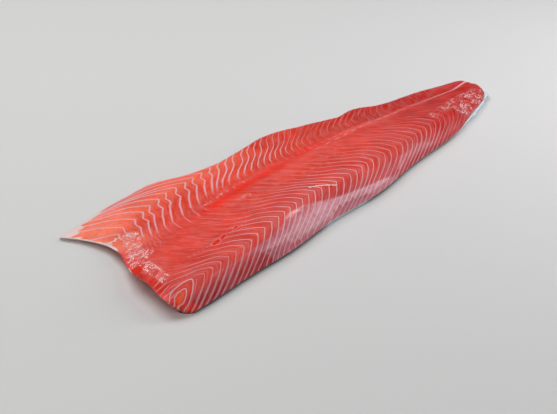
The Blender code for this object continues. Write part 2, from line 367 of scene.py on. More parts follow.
FOLLOW_START, FOLLOW_ROUNDS, FOLLOW_STEP = 10.0, 14, 0.4


def follow(x, arm):
    """The chevron point that each place belongs to: its own x plus the reach of the arm there."""
    point = x + FOLLOW_START
    for _ in range(FOLLOW_ROUNDS):
        point = mix(FOLLOW_STEP, point, x + arm(point))
    return point


def loin_lines(x, s):
    def arm(point):
        below = s - LOIN_POINTS(point)
        off_head, past_head, to_tail = ramp(point, 60, 50), ramp(point, 100, 100), ramp(point, 230, 90)
        at_head = LOIN_ARM_UP_HEAD(below / HEAD_ARM_SPREAD(point))
        up = mix(off_head, at_head, mix(to_tail, LOIN_ARM_UP(below), LOIN_ARM_UP_TAIL(below)))
        behind = mix(to_tail, LOIN_ARM_DOWN_MIDDLE(below), LOIN_ARM_DOWN_TAIL(below))
        down = mix(past_head, LOIN_ARM_DOWN_HEAD(below), behind)
        return np.where(below < 0, up, down)

    return LOIN_COUNT(follow(x, arm))


print(f"in its first 500 mm the loin has {float(LOIN_COUNT(500) - LOIN_COUNT(0)):.0f} chevrons")

# %% Chevrons and slanting lines of the belly flap
BELLY_POINTS = curve((
    (-20, -25), (36, -34.5), (49, -41), (66, -42), (81, -45), (94, -48), (110, -50), (124, -52.5),
    (139, -51.5), (152, -51.5), (166, -53.5), (181, -56), (196, -58.5), (214, -63.5), (228, -65),
    (255, -68), (288, -70), (400, -70),
))
BELLY_COUNT = straight((
    (-110, -10), (36, 0), (49, 1), (66, 2), (81, 3), (94, 4), (110, 5), (124, 6), (138, 7), (152, 8),
    (166, 9), (181, 10), (196, 11), (214, 12), (228, 13), (240, 14), (255, 15), (276, 17), (317, 21),
    (422, 31), (590, 47),
))
BELLY_ARM_TO_EDGE = curve((
    (-45, 75), (-38, 58), (-33, 46), (-28, 34), (-24, 25), (-18, 16), (-12, 9), (-5, 3.3), (0, 0),
))
EDGE_ARM_SPREAD = straight((
    (36, 1.3), (49, 0.6), (66, 0.65), (81, 0.75), (94, 1.0), (110, 1.2), (124, 1.6), (138, 1.85),
    (152, 2.0),
))
BELLY_ARM_TO_SPINE = curve((
    (0, 0), (4, 4), (9, 10), (14, 11), (18, 12.5), (23, 18), (30, 25), (37, 31), (44, 37), (50, 42),
    (57, 47), (64, 51), (75, 56),
))
SPINE_ARM_SPREAD = straight(((36, 0.65), (66, 0.75), (81, 0.85), (110, 1.0), (196, 1.04), (214, 1.16)))
BELLY_SLANT = curve((
    (0, 0), (7, 8), (12, 15), (19, 21), (26, 27), (34, 37), (43, 50), (50, 58),
    (57, 65.5), (63, 69.5), (72, 75), (80, 79),
))
BELLY_SLANT_FAR = curve((
    (0, 0), (20, 30), (30, 47), (38, 60), (44, 68), (50, 73.5), (60, 80), (70, 86), (80, 91),
))


def belly_lines(x, s):
    def arm(point):
        above = s - BELLY_POINTS(point)
        slanting, far = ramp(point, 185, 45), ramp(point, 300, 80)
        to_edge = BELLY_ARM_TO_EDGE(above) * EDGE_ARM_SPREAD(point)
        chevron = BELLY_ARM_TO_SPINE(above) * SPINE_ARM_SPREAD(point)
        to_spine = mix(slanting, chevron, mix(far, BELLY_SLANT(above), BELLY_SLANT_FAR(above)))
        return np.where(above < 0, to_edge, to_spine)

    return BELLY_COUNT(follow(x, arm))


print(f"in its first 500 mm the flap has {float(BELLY_COUNT(500) - BELLY_COUNT(0)):.0f} lines")

# %% [markdown]
# ## The eye of the last cone
# At the head end of the loin the knife cuts straight through the tip of a cone, so its fat sheets
# show as closed rings round an orange eye. The rings are diamonds that lean along the back, drawn out
# on the side towards the tail.

# %% Rings round the eye
EYE_X, EYE_S = -14.0, 105.0
EYE_LEAN = math.radians(-22)
EYE_TO_HEAD, EYE_TO_TAIL, EYE_WIDE = 7.0, 13.0, 5.0      # from the centre to the inner ring, mm
EYE_SQUARENESS = 1.4


def eye_rings(x, s):
    """1 on the inner ring, 2 on the next, and so on."""
    along = (x - EYE_X) * math.cos(EYE_LEAN) + (s - EYE_S) * math.sin(EYE_LEAN)
    across = (s - EYE_S) * math.cos(EYE_LEAN) - (x - EYE_X) * math.sin(EYE_LEAN)
    reach = np.where(along < 0, EYE_TO_HEAD, EYE_TO_TAIL)
    size = (np.abs(along) / reach) ** EYE_SQUARENESS + (np.abs(across) / EYE_WIDE) ** EYE_SQUARENESS
    return size ** (1 / EYE_SQUARENESS)


print(f"the inner ring is {EYE_TO_HEAD + EYE_TO_TAIL:.0f} mm long and {2 * EYE_WIDE:.0f} mm wide")

# %% [markdown]
# ## Where the lines are strong
# The lines are whitest on the belly flap and down the side of the loin, where they are cut
# square. They fade across the middle, where the knife runs along the flakes, and towards the tail.
# Beside the spine the belly lines end in short bright hooks.

# %% Strength of the fat lines
BELLY_WHITE, LOIN_WHITE, FAINT_LOIN_WHITE = 0.93, 0.62, 0.40      # 1 is a line in the full colour of fat
HOOKS_WHITE, FAINT_ENDS_WHITE, BRIGHT_ENDS_WHITE = 0.45, 0.42, 0.55
RINGS_SHOWN = 2.6


def belly_strength(x, s):
    across = fall(s, 14 - 12 * rise(x, 90, 60), 24)
    along = 1 - 0.76 * rise(x, 240, 80) - 0.14 * rise(x, 400, 80)
    torn = rise(s, -26, 12) * fall(x, 50, 24)
    hooks = HOOKS_WHITE * bell(s - 4, 3.5) * window(x, 238, 436, 20)
    faint_ends = FAINT_ENDS_WHITE * fall(s, 30, 9) * window(x, 58, 112, 20)
    bright_ends = BRIGHT_ENDS_WHITE * bell(s - 8.5, 3) * window(x, 118, 188, 12)
    ends = np.maximum(np.maximum(faint_ends, bright_ends), hooks)
    return np.maximum(BELLY_WHITE * across * along * (1 - 0.7 * torn), ends)


def loin_strength(x, s):
    below = s - LOIN_POINTS(x)
    faint = FAINT_LOIN_WHITE * rise(s, 18, 16) * rise(x, 60, 40)
    near_points = rise(below, -34, 26) * (1 - 0.38 * window(x, 110, 330, 60) * fall(below, -6, 8))
    hidden_at_head = fall(s, 82, 8) * fall(x, 52, 34)
    in_rings = fall(eye_rings(x, s), RINGS_SHOWN, 0.5)
    along = 1 - 0.28 * rise(x, 240, 80) - 0.47 * rise(x, 395, 60) - 0.25 * rise(x, 470, 40)
    softened = 1 - 0.3 * rise(below, 4, 10) * rise(x, 45, 40)
    return (faint + LOIN_WHITE * near_points) * (1 - hidden_at_head) * (1 - in_rings) * along * softened


print("at 100 mm the flap's lines have", belly_strength(100.0, np.array([-60.0, -20.0, 0.0])).round(2))

# %% Width of the fat lines
BELLY_LINE, LOIN_LINE, RING_LINE = 1.7, 0.85, 1.3      # mm
MEASURE_STEP = 0.5
LEAST_SLOPE, MOST_SLOPE = 0.02, 0.6


def belly_width(x, s):
    middle = 0.55 * bell(s + 20, 20) * window(x, 55, 200, 50) + 0.2 * fall(s, -60, 10)
    return BELLY_LINE + middle - 0.55 * rise(x, 190, 90)


def loin_width(x, s):
    down_the_side = rise(s - LOIN_POINTS(x), 1, 14) * (1.3 - 0.7 * rise(x, 45, 55))
    return LOIN_LINE + down_the_side - 0.15 * rise(x, 320, 60)


def half_width(lines, x, s, width):
    """The line number, and half the line's width as a share of the spacing."""
    here = lines(x, s)
    slope = np.hypot(lines(x + MEASURE_STEP, s) - here, lines(x, s + MEASURE_STEP) - here) / MEASURE_STEP
    return here, 0.5 * width * np.clip(slope, LEAST_SLOPE, MOST_SLOPE)


def read_vectors(collection, name):
    """One row of three numbers for each corner of the flesh."""
    values = np.empty(len(flesh.data.vertices) * 3, np.float32)
    collection.foreach_get(name, values)
    return values.reshape(-1, 3).astype(float)


corners = read_vectors(flesh.data.vertices, "co")
x, s = along_and_round(corners)
belly_number, belly_half = half_width(belly_lines, x, s, belly_width(x, s))
loin_number, loin_half = half_width(loin_lines, x, s, loin_width(x, s))
ring_number, ring_half = half_width(eye_rings, x, s, RING_LINE)
belly_shown, loin_shown = belly_strength(x, s), loin_strength(x, s)
ring_shown = window(ring_number, 0.5, 2.45, 0.2)
print(f"belly lines {belly_number.min():.0f} to {belly_number.max():.0f}")
print(f"loin lines {loin_number.min():.0f} to {loin_number.max():.0f}")

# %% [markdown]
# ## Marks that are placed one by one
# Pulled pin bones leave a row of narrow slits and dots, and the knife leaves pale scars. Pale arcs on
# the rounded lobes of the head cut are painted highlights, drawn with the scars. At the head cut and on
# the thin tail the wet surface is torn or wrinkled. Each of these is a stroke with a start, an end and
# a half width, so one function draws them all.

# %% Slits, dots, scars and wet places
SLITS = [(62.5, 73.3, 69.5, 72.6, 2.2), (74.5, 72.4, 80.0, 71.4, 1.9), (95.0, 71.2, 99.5, 70.4, 1.4)]
DOTS = [(place, 72.5, place + 1.6, 72.3, 0.9) for place in (28, 35, 41, 47, 53, 58, 86, 90, 104, 110)]
SCARS_AND_LOBE_HIGHLIGHTS = (
    (205, 73.0, 217, 76.6, 1.5), (216, 76.3, 228, 81.5, 1.4), (228, 81.5, 236, 85.5, 1.1),
    (19, -28.5, 31, -28.5, 1.6), (24, -26.0, 30, -33.0, 1.2),
    # painted highlights: pale arcs on the rounded lobes of the head cut, on this line and the next
    (-29, 78.2, -24, 80.9, 1.2), (-29, 87.0, -25, 90.5, 1.2),
    (14, 36.6, 16.5, 36.6, 1.7), (4, 32.5, 6.5, 32.0, 1.5), (16.5, 29.5, 17.5, 30.5, 1.3),
)
WET_PLACES = (
    (40, -20, -1, 32, 12), (15, 30, 5, 34, 9), (-3, 45, -10, 80, 7), (115, 9, 150, 6, 3.5),
    (138, 38, 152, 40, 4), (438, 48, 546, 22, 9), (486, 50, 538, 31, 13),
)
FAR_OUTSIDE = -9.0
WET_FULLNESS = 1.6


def stroke_field(x, s, strokes):
    """1 along the middle of each stroke, 0 at its edge and below 0 outside."""
    best = np.full_like(x, FAR_OUTSIDE)
    for start_x, start_s, end_x, end_s, half in strokes:
        run_x, run_s = end_x - start_x, end_s - start_s
        share = ((x - start_x) * run_x + (s - start_s) * run_s) / (run_x ** 2 + run_s ** 2)
        share = np.clip(share, 0, 1)
        gap = np.hypot(x - start_x - share * run_x, s - start_s - share * run_s)
        best = np.maximum(best, 1 - gap / half)
    return best


slit, scar_and_highlight, dots = stroke_field(x, s, SLITS), stroke_field(x, s, SCARS_AND_LOBE_HIGHLIGHTS), stroke_field(x, s, DOTS)
wet = ease(WET_FULLNESS * stroke_field(x, s, WET_PLACES)) * (1 - 0.55 * window(x, 90, 425, 30))
print(f"{np.mean(wet > 0):.0%} of the corners are torn or crinkled")

# %% [markdown]
# ## Parts of the surface
# The relief and the colours need to know how much each corner belongs to the head cut, the loin, its
# side, the torn places and the crinkled tail, as shares between 0 and 1.

# %% How much each corner belongs to each part
normals = read_vectors(flesh.data.vertex_normals, "vector")
lip_gap = x - HEAD_LIP(corners[:, 1] * TO_MM)
below_points = s - LOIN_POINTS(x)
head_face = fall(normals[:, 0], -0.15, 0.35) * fall(x, 90, 20)
loin_side = rise(s, 4, 16)
on_side = rise(below_points, 6, 12)
upper = rise(normals[:, 2], -0.1, 0.3)
crinkled = wet * rise(x, 425, 30)
torn = wet - crinkled
# how strongly painted glints show on the crinkled tail
crinkle_glints_shown = crinkled * (0.5 + 0.5 * rise(x, 450, 50))
loin_shown = loin_shown * (1 - 0.85 * head_face * fall(s, 100, 8))
print(f"{np.mean(head_face > 0.5):.1%} are on the head cut, {np.mean(on_side > 0.5):.1%} on the side")

# %% [markdown]
# ## Real relief
# Each flake swells a little between its fat lines, and fibres run along it. The torn surface has fine
# crags that catch the light, the tail is wrinkled, and the flap's far edge is raised. All of this is
# low, about two millimetres at most, so the corners are simply moved along their normals.

# %% Noise for the relief
def crags(points, scale, seed):
    """Smooth noise between about -1 and 1, with features of the given size in millimetres."""
    offset = Vector((seed * 17.3, seed * 5.7, seed * 11.1))
    return np.array([noise.noise(Vector(point) * (TO_MM / scale) + offset) for point in points])


def along_lines(number, finer_round):
    """Places for noise that is drawn out along the lines of one family."""
    return np.stack([number * 0.004, s * finer_round, x * 0.00002], axis=-1)


def flake_swell(number, shown):
    """0 on a fat line and highest halfway to the next."""
    place = number - np.floor(number)
    return shown * (4.0 * place * (1.0 - place)) ** 0.6


slow_noise, face_noise = crags(corners, 19.0, 1), crags(corners, 15.0, 4)
print(f"the slow unevenness runs from {slow_noise.min():.2f} to {slow_noise.max():.2f}")

# %% Raise and lower the surface
FLAKE_SWELL, FIBRE_SWELL = 0.20, 0.16          # the heights are in mm
SLOW_SWELL, SLOW_SWELL_LOST_ON_SIDE = 0.45, 0.25
FACE_CRAGS, TORN_CRAGS, TAIL_CRINKLES = 1.5, 0.6, 0.9
SLIT_DEPTH, DOT_DEPTH, SCAR_HEIGHT = 0.7, 0.4, 0.4
FAR_EDGE_RAISED, FARTHEST_EDGE_RAISED, TAIL_BUMP = 0.8, 0.9, 2.0
SUNK_BY = 0.1          # keeps the relief inside the body's box

height = flake_swell(belly_number, belly_shown) + flake_swell(loin_number, loin_shown) * (1 - 0.6 * on_side)
height = FLAKE_SWELL * height + (SLOW_SWELL - SLOW_SWELL_LOST_ON_SIDE * on_side) * slow_noise
height = height + FACE_CRAGS * head_face * (face_noise - 0.4)
for number, share in ((belly_number, 1 - loin_side), (loin_number, loin_side)):
    height = height + FIBRE_SWELL * crags(along_lines(number, 0.00007), 1.0, 3) * share * (1 - on_side)
height = height + TORN_CRAGS * torn * crags(corners, 3.2, 5) * (1 - on_side)
crinkle_along, crinkle_across = 0.94 * x - 0.35 * s, 0.35 * x + 0.94 * s
tail_places = np.stack([crinkle_along * 0.00014, crinkle_across * 0.00034, np.zeros_like(s)], axis=-1)
height = height + TAIL_CRINKLES * crinkled * crags(tail_places, 1.0, 6)
far_edge = FAR_EDGE_RAISED * window(x, 60, 440, 60) + FARTHEST_EDGE_RAISED * window(x, 262, 450, 50)
height = height + far_edge * fall(s, -30, 25) + TAIL_BUMP * bell(x - 557, 10) * bell(s + 7, 8)
height = height - SLIT_DEPTH * ease(slit * 1.4) - DOT_DEPTH * ease(dots * 1.4)
height = height + SCAR_HEIGHT * ease(scar_and_highlight * 1.5)
height = height * upper - SUNK_BY
corners = corners + normals * (height / TO_MM)[:, None]
corners = np.clip(corners, list(cad_box[0]), list(cad_box[1]))
flesh.data.vertices.foreach_set("co", corners.astype(np.float32).ravel())
flesh.data.update()
flesh.data.shade_smooth()
print(f"the relief runs from {height.min():.2f} to {height.max():.2f} mm")

# %% [markdown]
# ## Colour zones
# The belly flap is the fattest part and the most orange. The middle is a deep red, with a band of
# nearly pure orange-red where the spine was, and the loin is pinker. The cut face at the head is
# glossy and deep orange-red. Each zone is laid softly over those before it, and the result is kept as
# one colour for each corner, since it changes slowly.

# %% Lay the colour zones over each other
BELLY_FLESH = (0.96, 0.192, 0.108)
UPPER_BELLY = (0.76, 0.048, 0.018)
FAR_BELLY = (0.64, 0.035, 0.011)
MIDDLE_FLESH = (0.74, 0.053, 0.031)
LOIN_FLESH = (0.70, 0.050, 0.031)
FAR_LOIN = (0.62, 0.042, 0.022)
RIDGE_FLESH = (0.62, 0.022, 0.009)
# painted shade: a darker colour for the low side of the loin near the head
PAINTED_SHADE_SIDE = (0.43, 0.019, 0.021)
SIDE_FLESH = (0.52, 0.028, 0.029)
TAIL_FLESH = (0.46, 0.010, 0.003)
SPINE_BAND = (0.85, 0.018, 0.002)
CUT_FLESH = (0.82, 0.024, 0.005)
EYE_FLESH = (0.97, 0.085, 0.010)
BAND_AT = curve(((60, 22), (150, 20), (200, 15), (230, 10), (470, 8)))
BAND_WIDTH = curve(((60, 9), (150, 11), (230, 9.5), (330, 8), (470, 6.5)))

band = bell(s - BAND_AT(x), BAND_WIDTH(x)) * window(x, 95, 330, 60)
band = np.maximum(band, 0.55 * bell(s - 8, 7) * window(x, 300, 470, 60))
colour = np.tile(np.array(BELLY_FLESH), (len(x), 1))
for target, amount in (
    (UPPER_BELLY, 0.45 * rise(x, 30, 70)),
    (UPPER_BELLY, rise(s, -58, 34) * rise(x, 10, 60)),
    (FAR_BELLY, rise(x, 195, 80)),
    (MIDDLE_FLESH, rise(s, -12, 32)),
    (LOIN_FLESH, rise(s, 50, 40)),
    (FAR_LOIN, rise(x, 180, 60) * rise(s, 36, 24)),
    (SIDE_FLESH, on_side),
    # painted shade, darker down the side towards the skin, near the head
    (PAINTED_SHADE_SIDE, rise(below_points, 6, 16) * fall(x, 132, 44)),
    (RIDGE_FLESH, 0.9 * bell(s - 79, 18) * window(x, 150, 300, 50)),
    (TAIL_FLESH, rise(x, 285, 190)),
    (SPINE_BAND, 0.95 * band),
    (CUT_FLESH, 0.9 * fall(lip_gap, 10, 12) * rise(s, -12, 24)),
    (CUT_FLESH, 0.8 * head_face * rise(s, -30, 20)),
    (EYE_FLESH, 0.9 * fall(ring_number, 1.05, 0.5)),
):
    colour = colour + (np.array(target) - colour) * amount[:, None]
print("the mean colour of the flesh is", colour.mean(axis=0).round(3))

# %% [markdown]
# ## Sheen, membrane and the line of the spine
# The side of the loin has a bright sheen with a sharp upper edge: a film of water mirrors a soft light,
# and painted sheen lies under it. A white membrane covers the tip of the belly flap and runs out along
# its edge in streaks that follow the fat lines. Where the backbone lay, a pale line runs to the tail,
# at first as dashes.

# %% Where the film, the membrane and the spine line show
FILM_EDGE = curve((
    (-30, 101), (88, 101), (110, 101), (125, 100), (140, 96), (151, 92), (200, 91.5), (219, 95.5),
    (240, 98), (300, 100), (328, 96), (345, 78), (400, 77), (425, 82), (600, 82),
))
FILM_FOOT = straight((
    (-30, 103.5), (80, 104), (96, 108), (114, 130), (300, 130), (318, 106), (335, 95), (350, 88), (375, 85),
    (400, 82), (430, 81), (600, 80),
))
SPINE_MARK = curve((
    (240, 13), (320, 15), (362, 10.5), (400, 8.5), (457, 8.7), (500, 5.5), (520, 3.2), (540, -1.2),
    (570, -5.5),
))
DASH_TURN = 0.42       # radians a millimetre
FLAP_STATION = 5.0

# where the coat mirrors the side box, and where the painted sheen is laid
sheen = rise(s, FILM_EDGE(x), 2.0) * fall(s, FILM_FOOT(x) + 1.2, 4) * window(x, 24, 412, 14)
sheen = sheen * (1 - 0.75 * rise(x, 318, 25) - 0.2 * fall(x, 215, 60))
film = np.maximum(0.05 + 0.10 * head_face + 0.85 * sheen, 0.30 * wet * rise(x, -2, 8))

stations = np.arange(x.min() + 6, x.max() - 4, FLAP_STATION)
flap_edge = np.interp(x, stations, [s[np.abs(x - station) < 4].min() for station in stations])
rim_gap = s - flap_edge
rim_streaks = crags(along_lines(belly_number, 0.00005), 1.0, 8)
membrane = np.maximum.reduce((
    fall(x + s, 19.8 * rim_streaks - 44, 22),                        # the white point of the flap
    fall(rim_gap, 8 + 2.4 * rim_streaks, 4) * fall(x, 80, 40),       # the rim close to it
    0.25 * fall(rim_gap, 4, 4) * window(x, 50, 330, 50),             # the rest of the flap's rim
    0.75 * fall(lip_gap, 5, 4) * fall(s, -2, 16),                    # the lip of the head cut
    0.50 * bell(x - 562, 9) * bell(s + 5, 4),                        # the end of the spine line
    # the pale scars, and the painted highlights on the lobes of the head cut
    0.75 * ease(scar_and_highlight * 1.6),
))
spine_gap = np.abs(s - SPINE_MARK(x))
dashes = 0.85 * rise(np.cos(x * DASH_TURN), -0.5, 1.2) * window(x, 285, 440, 60)
spine_shown = dashes + 0.4 * rise(x, 445, 15) + 0.6 * rise(x, 468, 40)
print(f"{np.mean(sheen > 0.5):.1%} are in the sheen, {np.mean(membrane > 0.5):.1%} in the membrane")

# %% Write the attributes that the material reads
def write(name, kind, field, values):
    layer = flesh.data.attributes.new(name, kind, "POINT")
    layer.data.foreach_set(field, values.astype(np.float32).ravel())


for name, values in {
    "belly_number": belly_number, "belly_half": belly_half, "belly_shown": belly_shown,
    "loin_number": loin_number, "loin_half": loin_half, "loin_shown": loin_shown,
    "ring_number": ring_number, "ring_half": ring_half, "ring_shown": ring_shown,
    "loin_side": loin_side, "band": band, "film": film, "sheen": sheen, "membrane": membrane,
    "slit": slit, "dots": dots, "torn": torn, "crinkled": crinkle_glints_shown,
    "spine_gap": spine_gap, "spine_shown": spine_shown, "round_section": s, "along": x,
    "ticks": window(lip_gap, -1, 11, 4) * window(s, 74, 102, 8),
    "fan": window(x + 0.8 * s, 8, 62, 16) * window(s, -14, 34, 14),
    "mottled": window(s, 26, 60, 14) * window(x, 120, 310, 60),
}.items():
    write(name, "FLOAT", "value", values)
write("flesh_colour", "FLOAT_COLOR", "color", np.hstack((colour, np.ones((len(x), 1)))))
print(f"the flesh carries {len(flesh.data.attributes)} attributes")

# %% [markdown]
# ## Building a material
# A material is a graph of nodes. This small class makes one and has a short method for each node that
# the lesson needs, so that the cells after it read like sums. A value can be a number, the output of
# another node, or in quotes the name of a number that the mesh carries.

# %% A material that grows node by node
class Look:
    def __init__(self, name):
        self.material = bpy.data.materials.new(name)
        self.material.use_nodes = True
        self.tree = self.material.node_tree
        self.shader = self.tree.nodes["Principled BSDF"]
        self.tone = None

    def fill(self, inputs, sockets):
        for name, value in sockets.items():
            if isinstance(value, str):
                value = self.stored(value)
            if isinstance(value, bpy.types.NodeSocket):
                self.tree.links.new(value, inputs[name])
            else:
                inputs[name].default_value = value

    def put(self, kind, sockets, output=0, **settings):
        """Adds a node, fills its inputs, and gives one output."""
        made = self.tree.nodes.new("ShaderNode" + kind)
        for name, value in settings.items():
            setattr(made, name, value)
        self.fill(made.inputs, sockets)
        return made.outputs[output]

    def place(self):
        """The place on the object, in metres."""
        return self.put("TexCoord", {}, output=3)

    def stored(self, name, output=2):
        """A number that the mesh carries, or with output 0 a colour."""
        return self.put("Attribute", {}, output=output, attribute_name=name)

    def maths(self, operation, *values):
        return self.put("Math", dict(enumerate(values)), operation=operation)

    def times(self, first, second):
        return self.maths("MULTIPLY", first, second)

    def times_plus(self, first, second, third):
        return self.maths("MULTIPLY_ADD", first, second, third)

    def higher(self, first, second):
        return self.maths("MAXIMUM", first, second)

    def fade(self, value, low, high, at_low=0.0, at_high=1.0):
        """Smoothly from one value at low to another at high."""
        sockets = {"Value": value, "From Min": low, "From Max": high, "To Min": at_low, "To Max": at_high}
        return self.put("MapRange", sockets, interpolation_type="SMOOTHSTEP")

    def grain(self, place, scale, detail=2.0, distortion=0.0):
        sockets = {"Vector": place, "Scale": scale, "Detail": detail, "Distortion": distortion}
        return self.put("TexNoise", sockets)

    def squiggles(self, field, half):
        """1 along the curves where a noise passes through its middle value."""
        off_middle = self.maths("ABSOLUTE", self.maths("SUBTRACT", field, 0.5))
        return self.fade(off_middle, 0.3 * half, half, 1.0, 0.0)

    def paint(self, amount, colour):
        """Lays a colour over the tone so far."""
        self.tone = self.put("Mix", {0: amount, 6: self.tone, 7: colour}, output=2, data_type="RGBA")

    def dress(self, piece, sockets):
        """Fills the shader and gives the material to a piece."""
        self.fill(self.shader.inputs, {"Base Color": self.tone, **sockets})
        piece.data.materials.clear()
        piece.data.materials.append(self.material)
        print(f"{self.material.name} has {len(self.tree.nodes)} nodes")


# %% [markdown]
# ## The flesh's own colour
# Raw flesh is never even. Slow noise makes it lighter and darker by a tenth, pale blotches lie over
# the middle of the loin, and fibres tint it along the flakes. Their noise reads the fat lines' own
# numbers, so that it is drawn out along them.

# %% Noises and the base tone
FAT = (0.74, 0.43, 0.46, 1.0)
PALE_FLESH = (0.78, 0.160, 0.105, 1.0)
FIBRE_TINT, BLOTCH_TINT = 0.16, 0.40

look = Look("raw_flesh")
place = look.place()
soft_noise = look.grain(place, 38.0, detail=3.0)
blotch_noise = look.grain(place, 165.0)
fine_noise = look.grain(place, 260.0)


def fibres(family):
    """Noise drawn out along the lines of one family."""
    fibre_place = look.put("CombineXYZ", {
        "X": look.times(f"{family}_number", 3.6),
        "Y": look.times("round_section", 0.07),
        "Z": look.times("along", 0.02),
    })
    return look.grain(fibre_place, 1.0)


fibre_noise = look.put("Mix", {0: "loin_side", 2: fibres("belly"), 3: fibres("loin")})
lightness = look.times(
    look.fade(soft_noise, 0.3, 0.7, 0.90, 1.10), look.fade(fine_noise, 0.3, 0.7, 0.93, 1.07),
)
look.tone = look.put("HueSaturation", {"Color": look.stored("flesh_colour", output=0), "Value": lightness})
off_band = look.fade("band", 0.0, 1.0, 1.0, 0.25)
fibre_tint = look.times(look.fade(fibre_noise, 0.35, 0.75, 0.0, FIBRE_TINT), off_band)
look.paint(fibre_tint, FAT)
blotches = look.times(look.fade(blotch_noise, 0.50, 0.68), "mottled")
look.paint(look.times(blotches, BLOTCH_TINT), PALE_FLESH)

# %% [markdown]
# ## Painted sheen under the reflection
# Part of the bright sheen on the side is a reflection of a soft box in the coat. The rest is painted
# sheen: a pale colour laid under the reflection and crossed by fine painted ripples. Three ripples go
# to each fat line, broken up by noise.

# %% The rippled painted sheen
# the colour of the painted sheen
PAINTED_SHEEN_TINT = (0.62, 0.32, 0.39, 1.0)
RIPPLES_PER_LINE, RIPPLE_UNEVENNESS, RIPPLE_STRENGTH = 3.0, 0.9, 0.26

three_a_line = look.times("loin_number", RIPPLES_PER_LINE)
ripple_number = look.times_plus(fine_noise, RIPPLE_UNEVENNESS, three_a_line)
ripples = look.fade(look.maths("PINGPONG", ripple_number, 0.5), 0.08, 0.36, 1.0, 0.0)
painted_sheen_share = look.times_plus(ripples, RIPPLE_STRENGTH, look.fade(fine_noise, 0.3, 0.6, 0.14, 0.32))
# painted sheen where the sheen mask is high, on the side of the loin
look.paint(look.times(painted_sheen_share, "sheen"), PAINTED_SHEEN_TINT)

# %% [markdown]
# ## Glints on torn and crinkled flesh
# Torn wet flesh glitters, because each small facet mirrors the light for itself. That would need a
# much finer mesh, so the glints are painted: a net of thin curves and some specks on the torn
# surface, and longer glinting curves at a slant across the crinkled tail.

# %% The glints
GLINT = (0.97, 0.84, 0.85, 1.0)
TORN_STRENGTH, CRINKLE_STRENGTH = 0.8, 0.52
NET_HALF, CRINKLE_HALF = 0.08, 0.06

speck_cells = {"Vector": place, "Scale": 420.0}
speck_gap = look.put("TexVoronoi", speck_cells)
speck_pick = look.put("SeparateColor", {0: look.put("TexVoronoi", speck_cells, output=1)})
specks = look.times(look.fade(speck_gap, 0.22, 0.40, 1.0, 0.0), look.fade(speck_pick, 0.62, 0.72))
torn_net = look.squiggles(look.grain(place, 340.0, detail=1.0, distortion=0.6), NET_HALF)
net_patches = look.fade(look.grain(place, 130.0, detail=1.0), 0.46, 0.62, 0.08, 1.0)
glints = look.higher(specks, look.times(torn_net, net_patches))
glints = look.times(glints, look.fade("torn", 0.1, 0.8))
look.paint(look.times(glints, TORN_STRENGTH), GLINT)

crinkle_place = look.put("CombineXYZ", {
    "X": look.times_plus("round_section", -0.050, look.times("along", 0.135)),
    "Y": look.times_plus("round_section", 0.300, look.times("along", 0.115)),
})
crinkle_noise = look.grain(crinkle_place, 1.0, detail=1.0, distortion=0.5)
crinkle_glints = look.higher(look.squiggles(crinkle_noise, CRINKLE_HALF), look.fade(crinkle_noise, 0.60, 0.72))
crinkle_patches = look.fade(look.grain(place, 120.0, detail=1.0), 0.40, 0.60, 0.15, 1.0)
crinkle_glints = look.times(look.times(crinkle_glints, crinkle_patches), look.fade("crinkled", 0.0, 0.9))
look.paint(look.times(crinkle_glints, CRINKLE_STRENGTH), GLINT)

# %% [markdown]
# ## The fat lines
# The stored numbers are whole on each line, so the distance to the nearest whole number draws the
# lines, and they stay sharper than the mesh. A little noise makes them waver, as real fat does. The
# lip of the head cut has a row of fine ticks, and behind it lies a faint fan of lines.

# %% Draw the fat lines
LINE_WAVES, LINE_ROUGHNESS = 0.3, 0.14     # as shares of the way to the next line
LINE_FULL, LINE_GONE = 0.5, 1.35           # in half widths
TICKS_PER_MM, TICK_HALF, TICK_WHITE = 0.19, 0.11, 0.6
FAN_LEAN, FAN_LINES_PER_MM, FAN_HALF, FAN_WHITE = 0.8, 0.20, 0.10, 0.26
FAT_STRENGTH = 0.92


def lines(number, half, shown):
    """1 on each whole number and 0 between them."""
    wavy = look.times_plus(look.maths("SUBTRACT", soft_noise, 0.5), LINE_WAVES, number)
    wavy = look.times_plus(look.maths("SUBTRACT", fine_noise, 0.5), LINE_ROUGHNESS, wavy)
    to_line = look.maths("PINGPONG", wavy, 0.5)
    line = look.fade(to_line, look.times(half, LINE_FULL), look.times(half, LINE_GONE), 1.0, 0.0)
    return look.times(line, shown)


def fat_lines(family):
    uneven = look.fade(fibre_noise, 0.2, 0.6, 0.75, 1.0)
    shown = look.times(f"{family}_shown", uneven)
    return lines(f"{family}_number", f"{family}_half", shown)


tick_number = look.times_plus(fine_noise, 0.5, look.times("round_section", TICKS_PER_MM))
ticks = lines(tick_number, TICK_HALF, look.times("ticks", TICK_WHITE))
fan_place = look.times_plus("round_section", FAN_LEAN, "along")
fan_number = look.times_plus(soft_noise, 4.0, look.times(fan_place, FAN_LINES_PER_MM))
fan = lines(fan_number, FAN_HALF, look.times("fan", FAN_WHITE))
fat = fan
for more in (ticks, fat_lines("ring"), fat_lines("belly"), fat_lines("loin")):
    fat = look.higher(fat, more)
look.paint(look.times(fat, FAT_STRENGTH), FAT)

# %% [markdown]
# ## Small marks and the membrane
# Over the fat lines come the line of the spine, the red pin-bone slits with a pale rim, the dots, and
# last the white membrane, frayed by the noise of the fibres.

# %% Draw the marks and the membrane
SLIT_RED = (0.76, 0.024, 0.002, 1.0)
MEMBRANE = (0.76, 0.60, 0.57, 1.0)
SPINE_STRENGTH, SLIT_RIM_STRENGTH, DOT_STRENGTH = 0.85, 0.22, 0.4
MEMBRANE_FRAY = 1.1

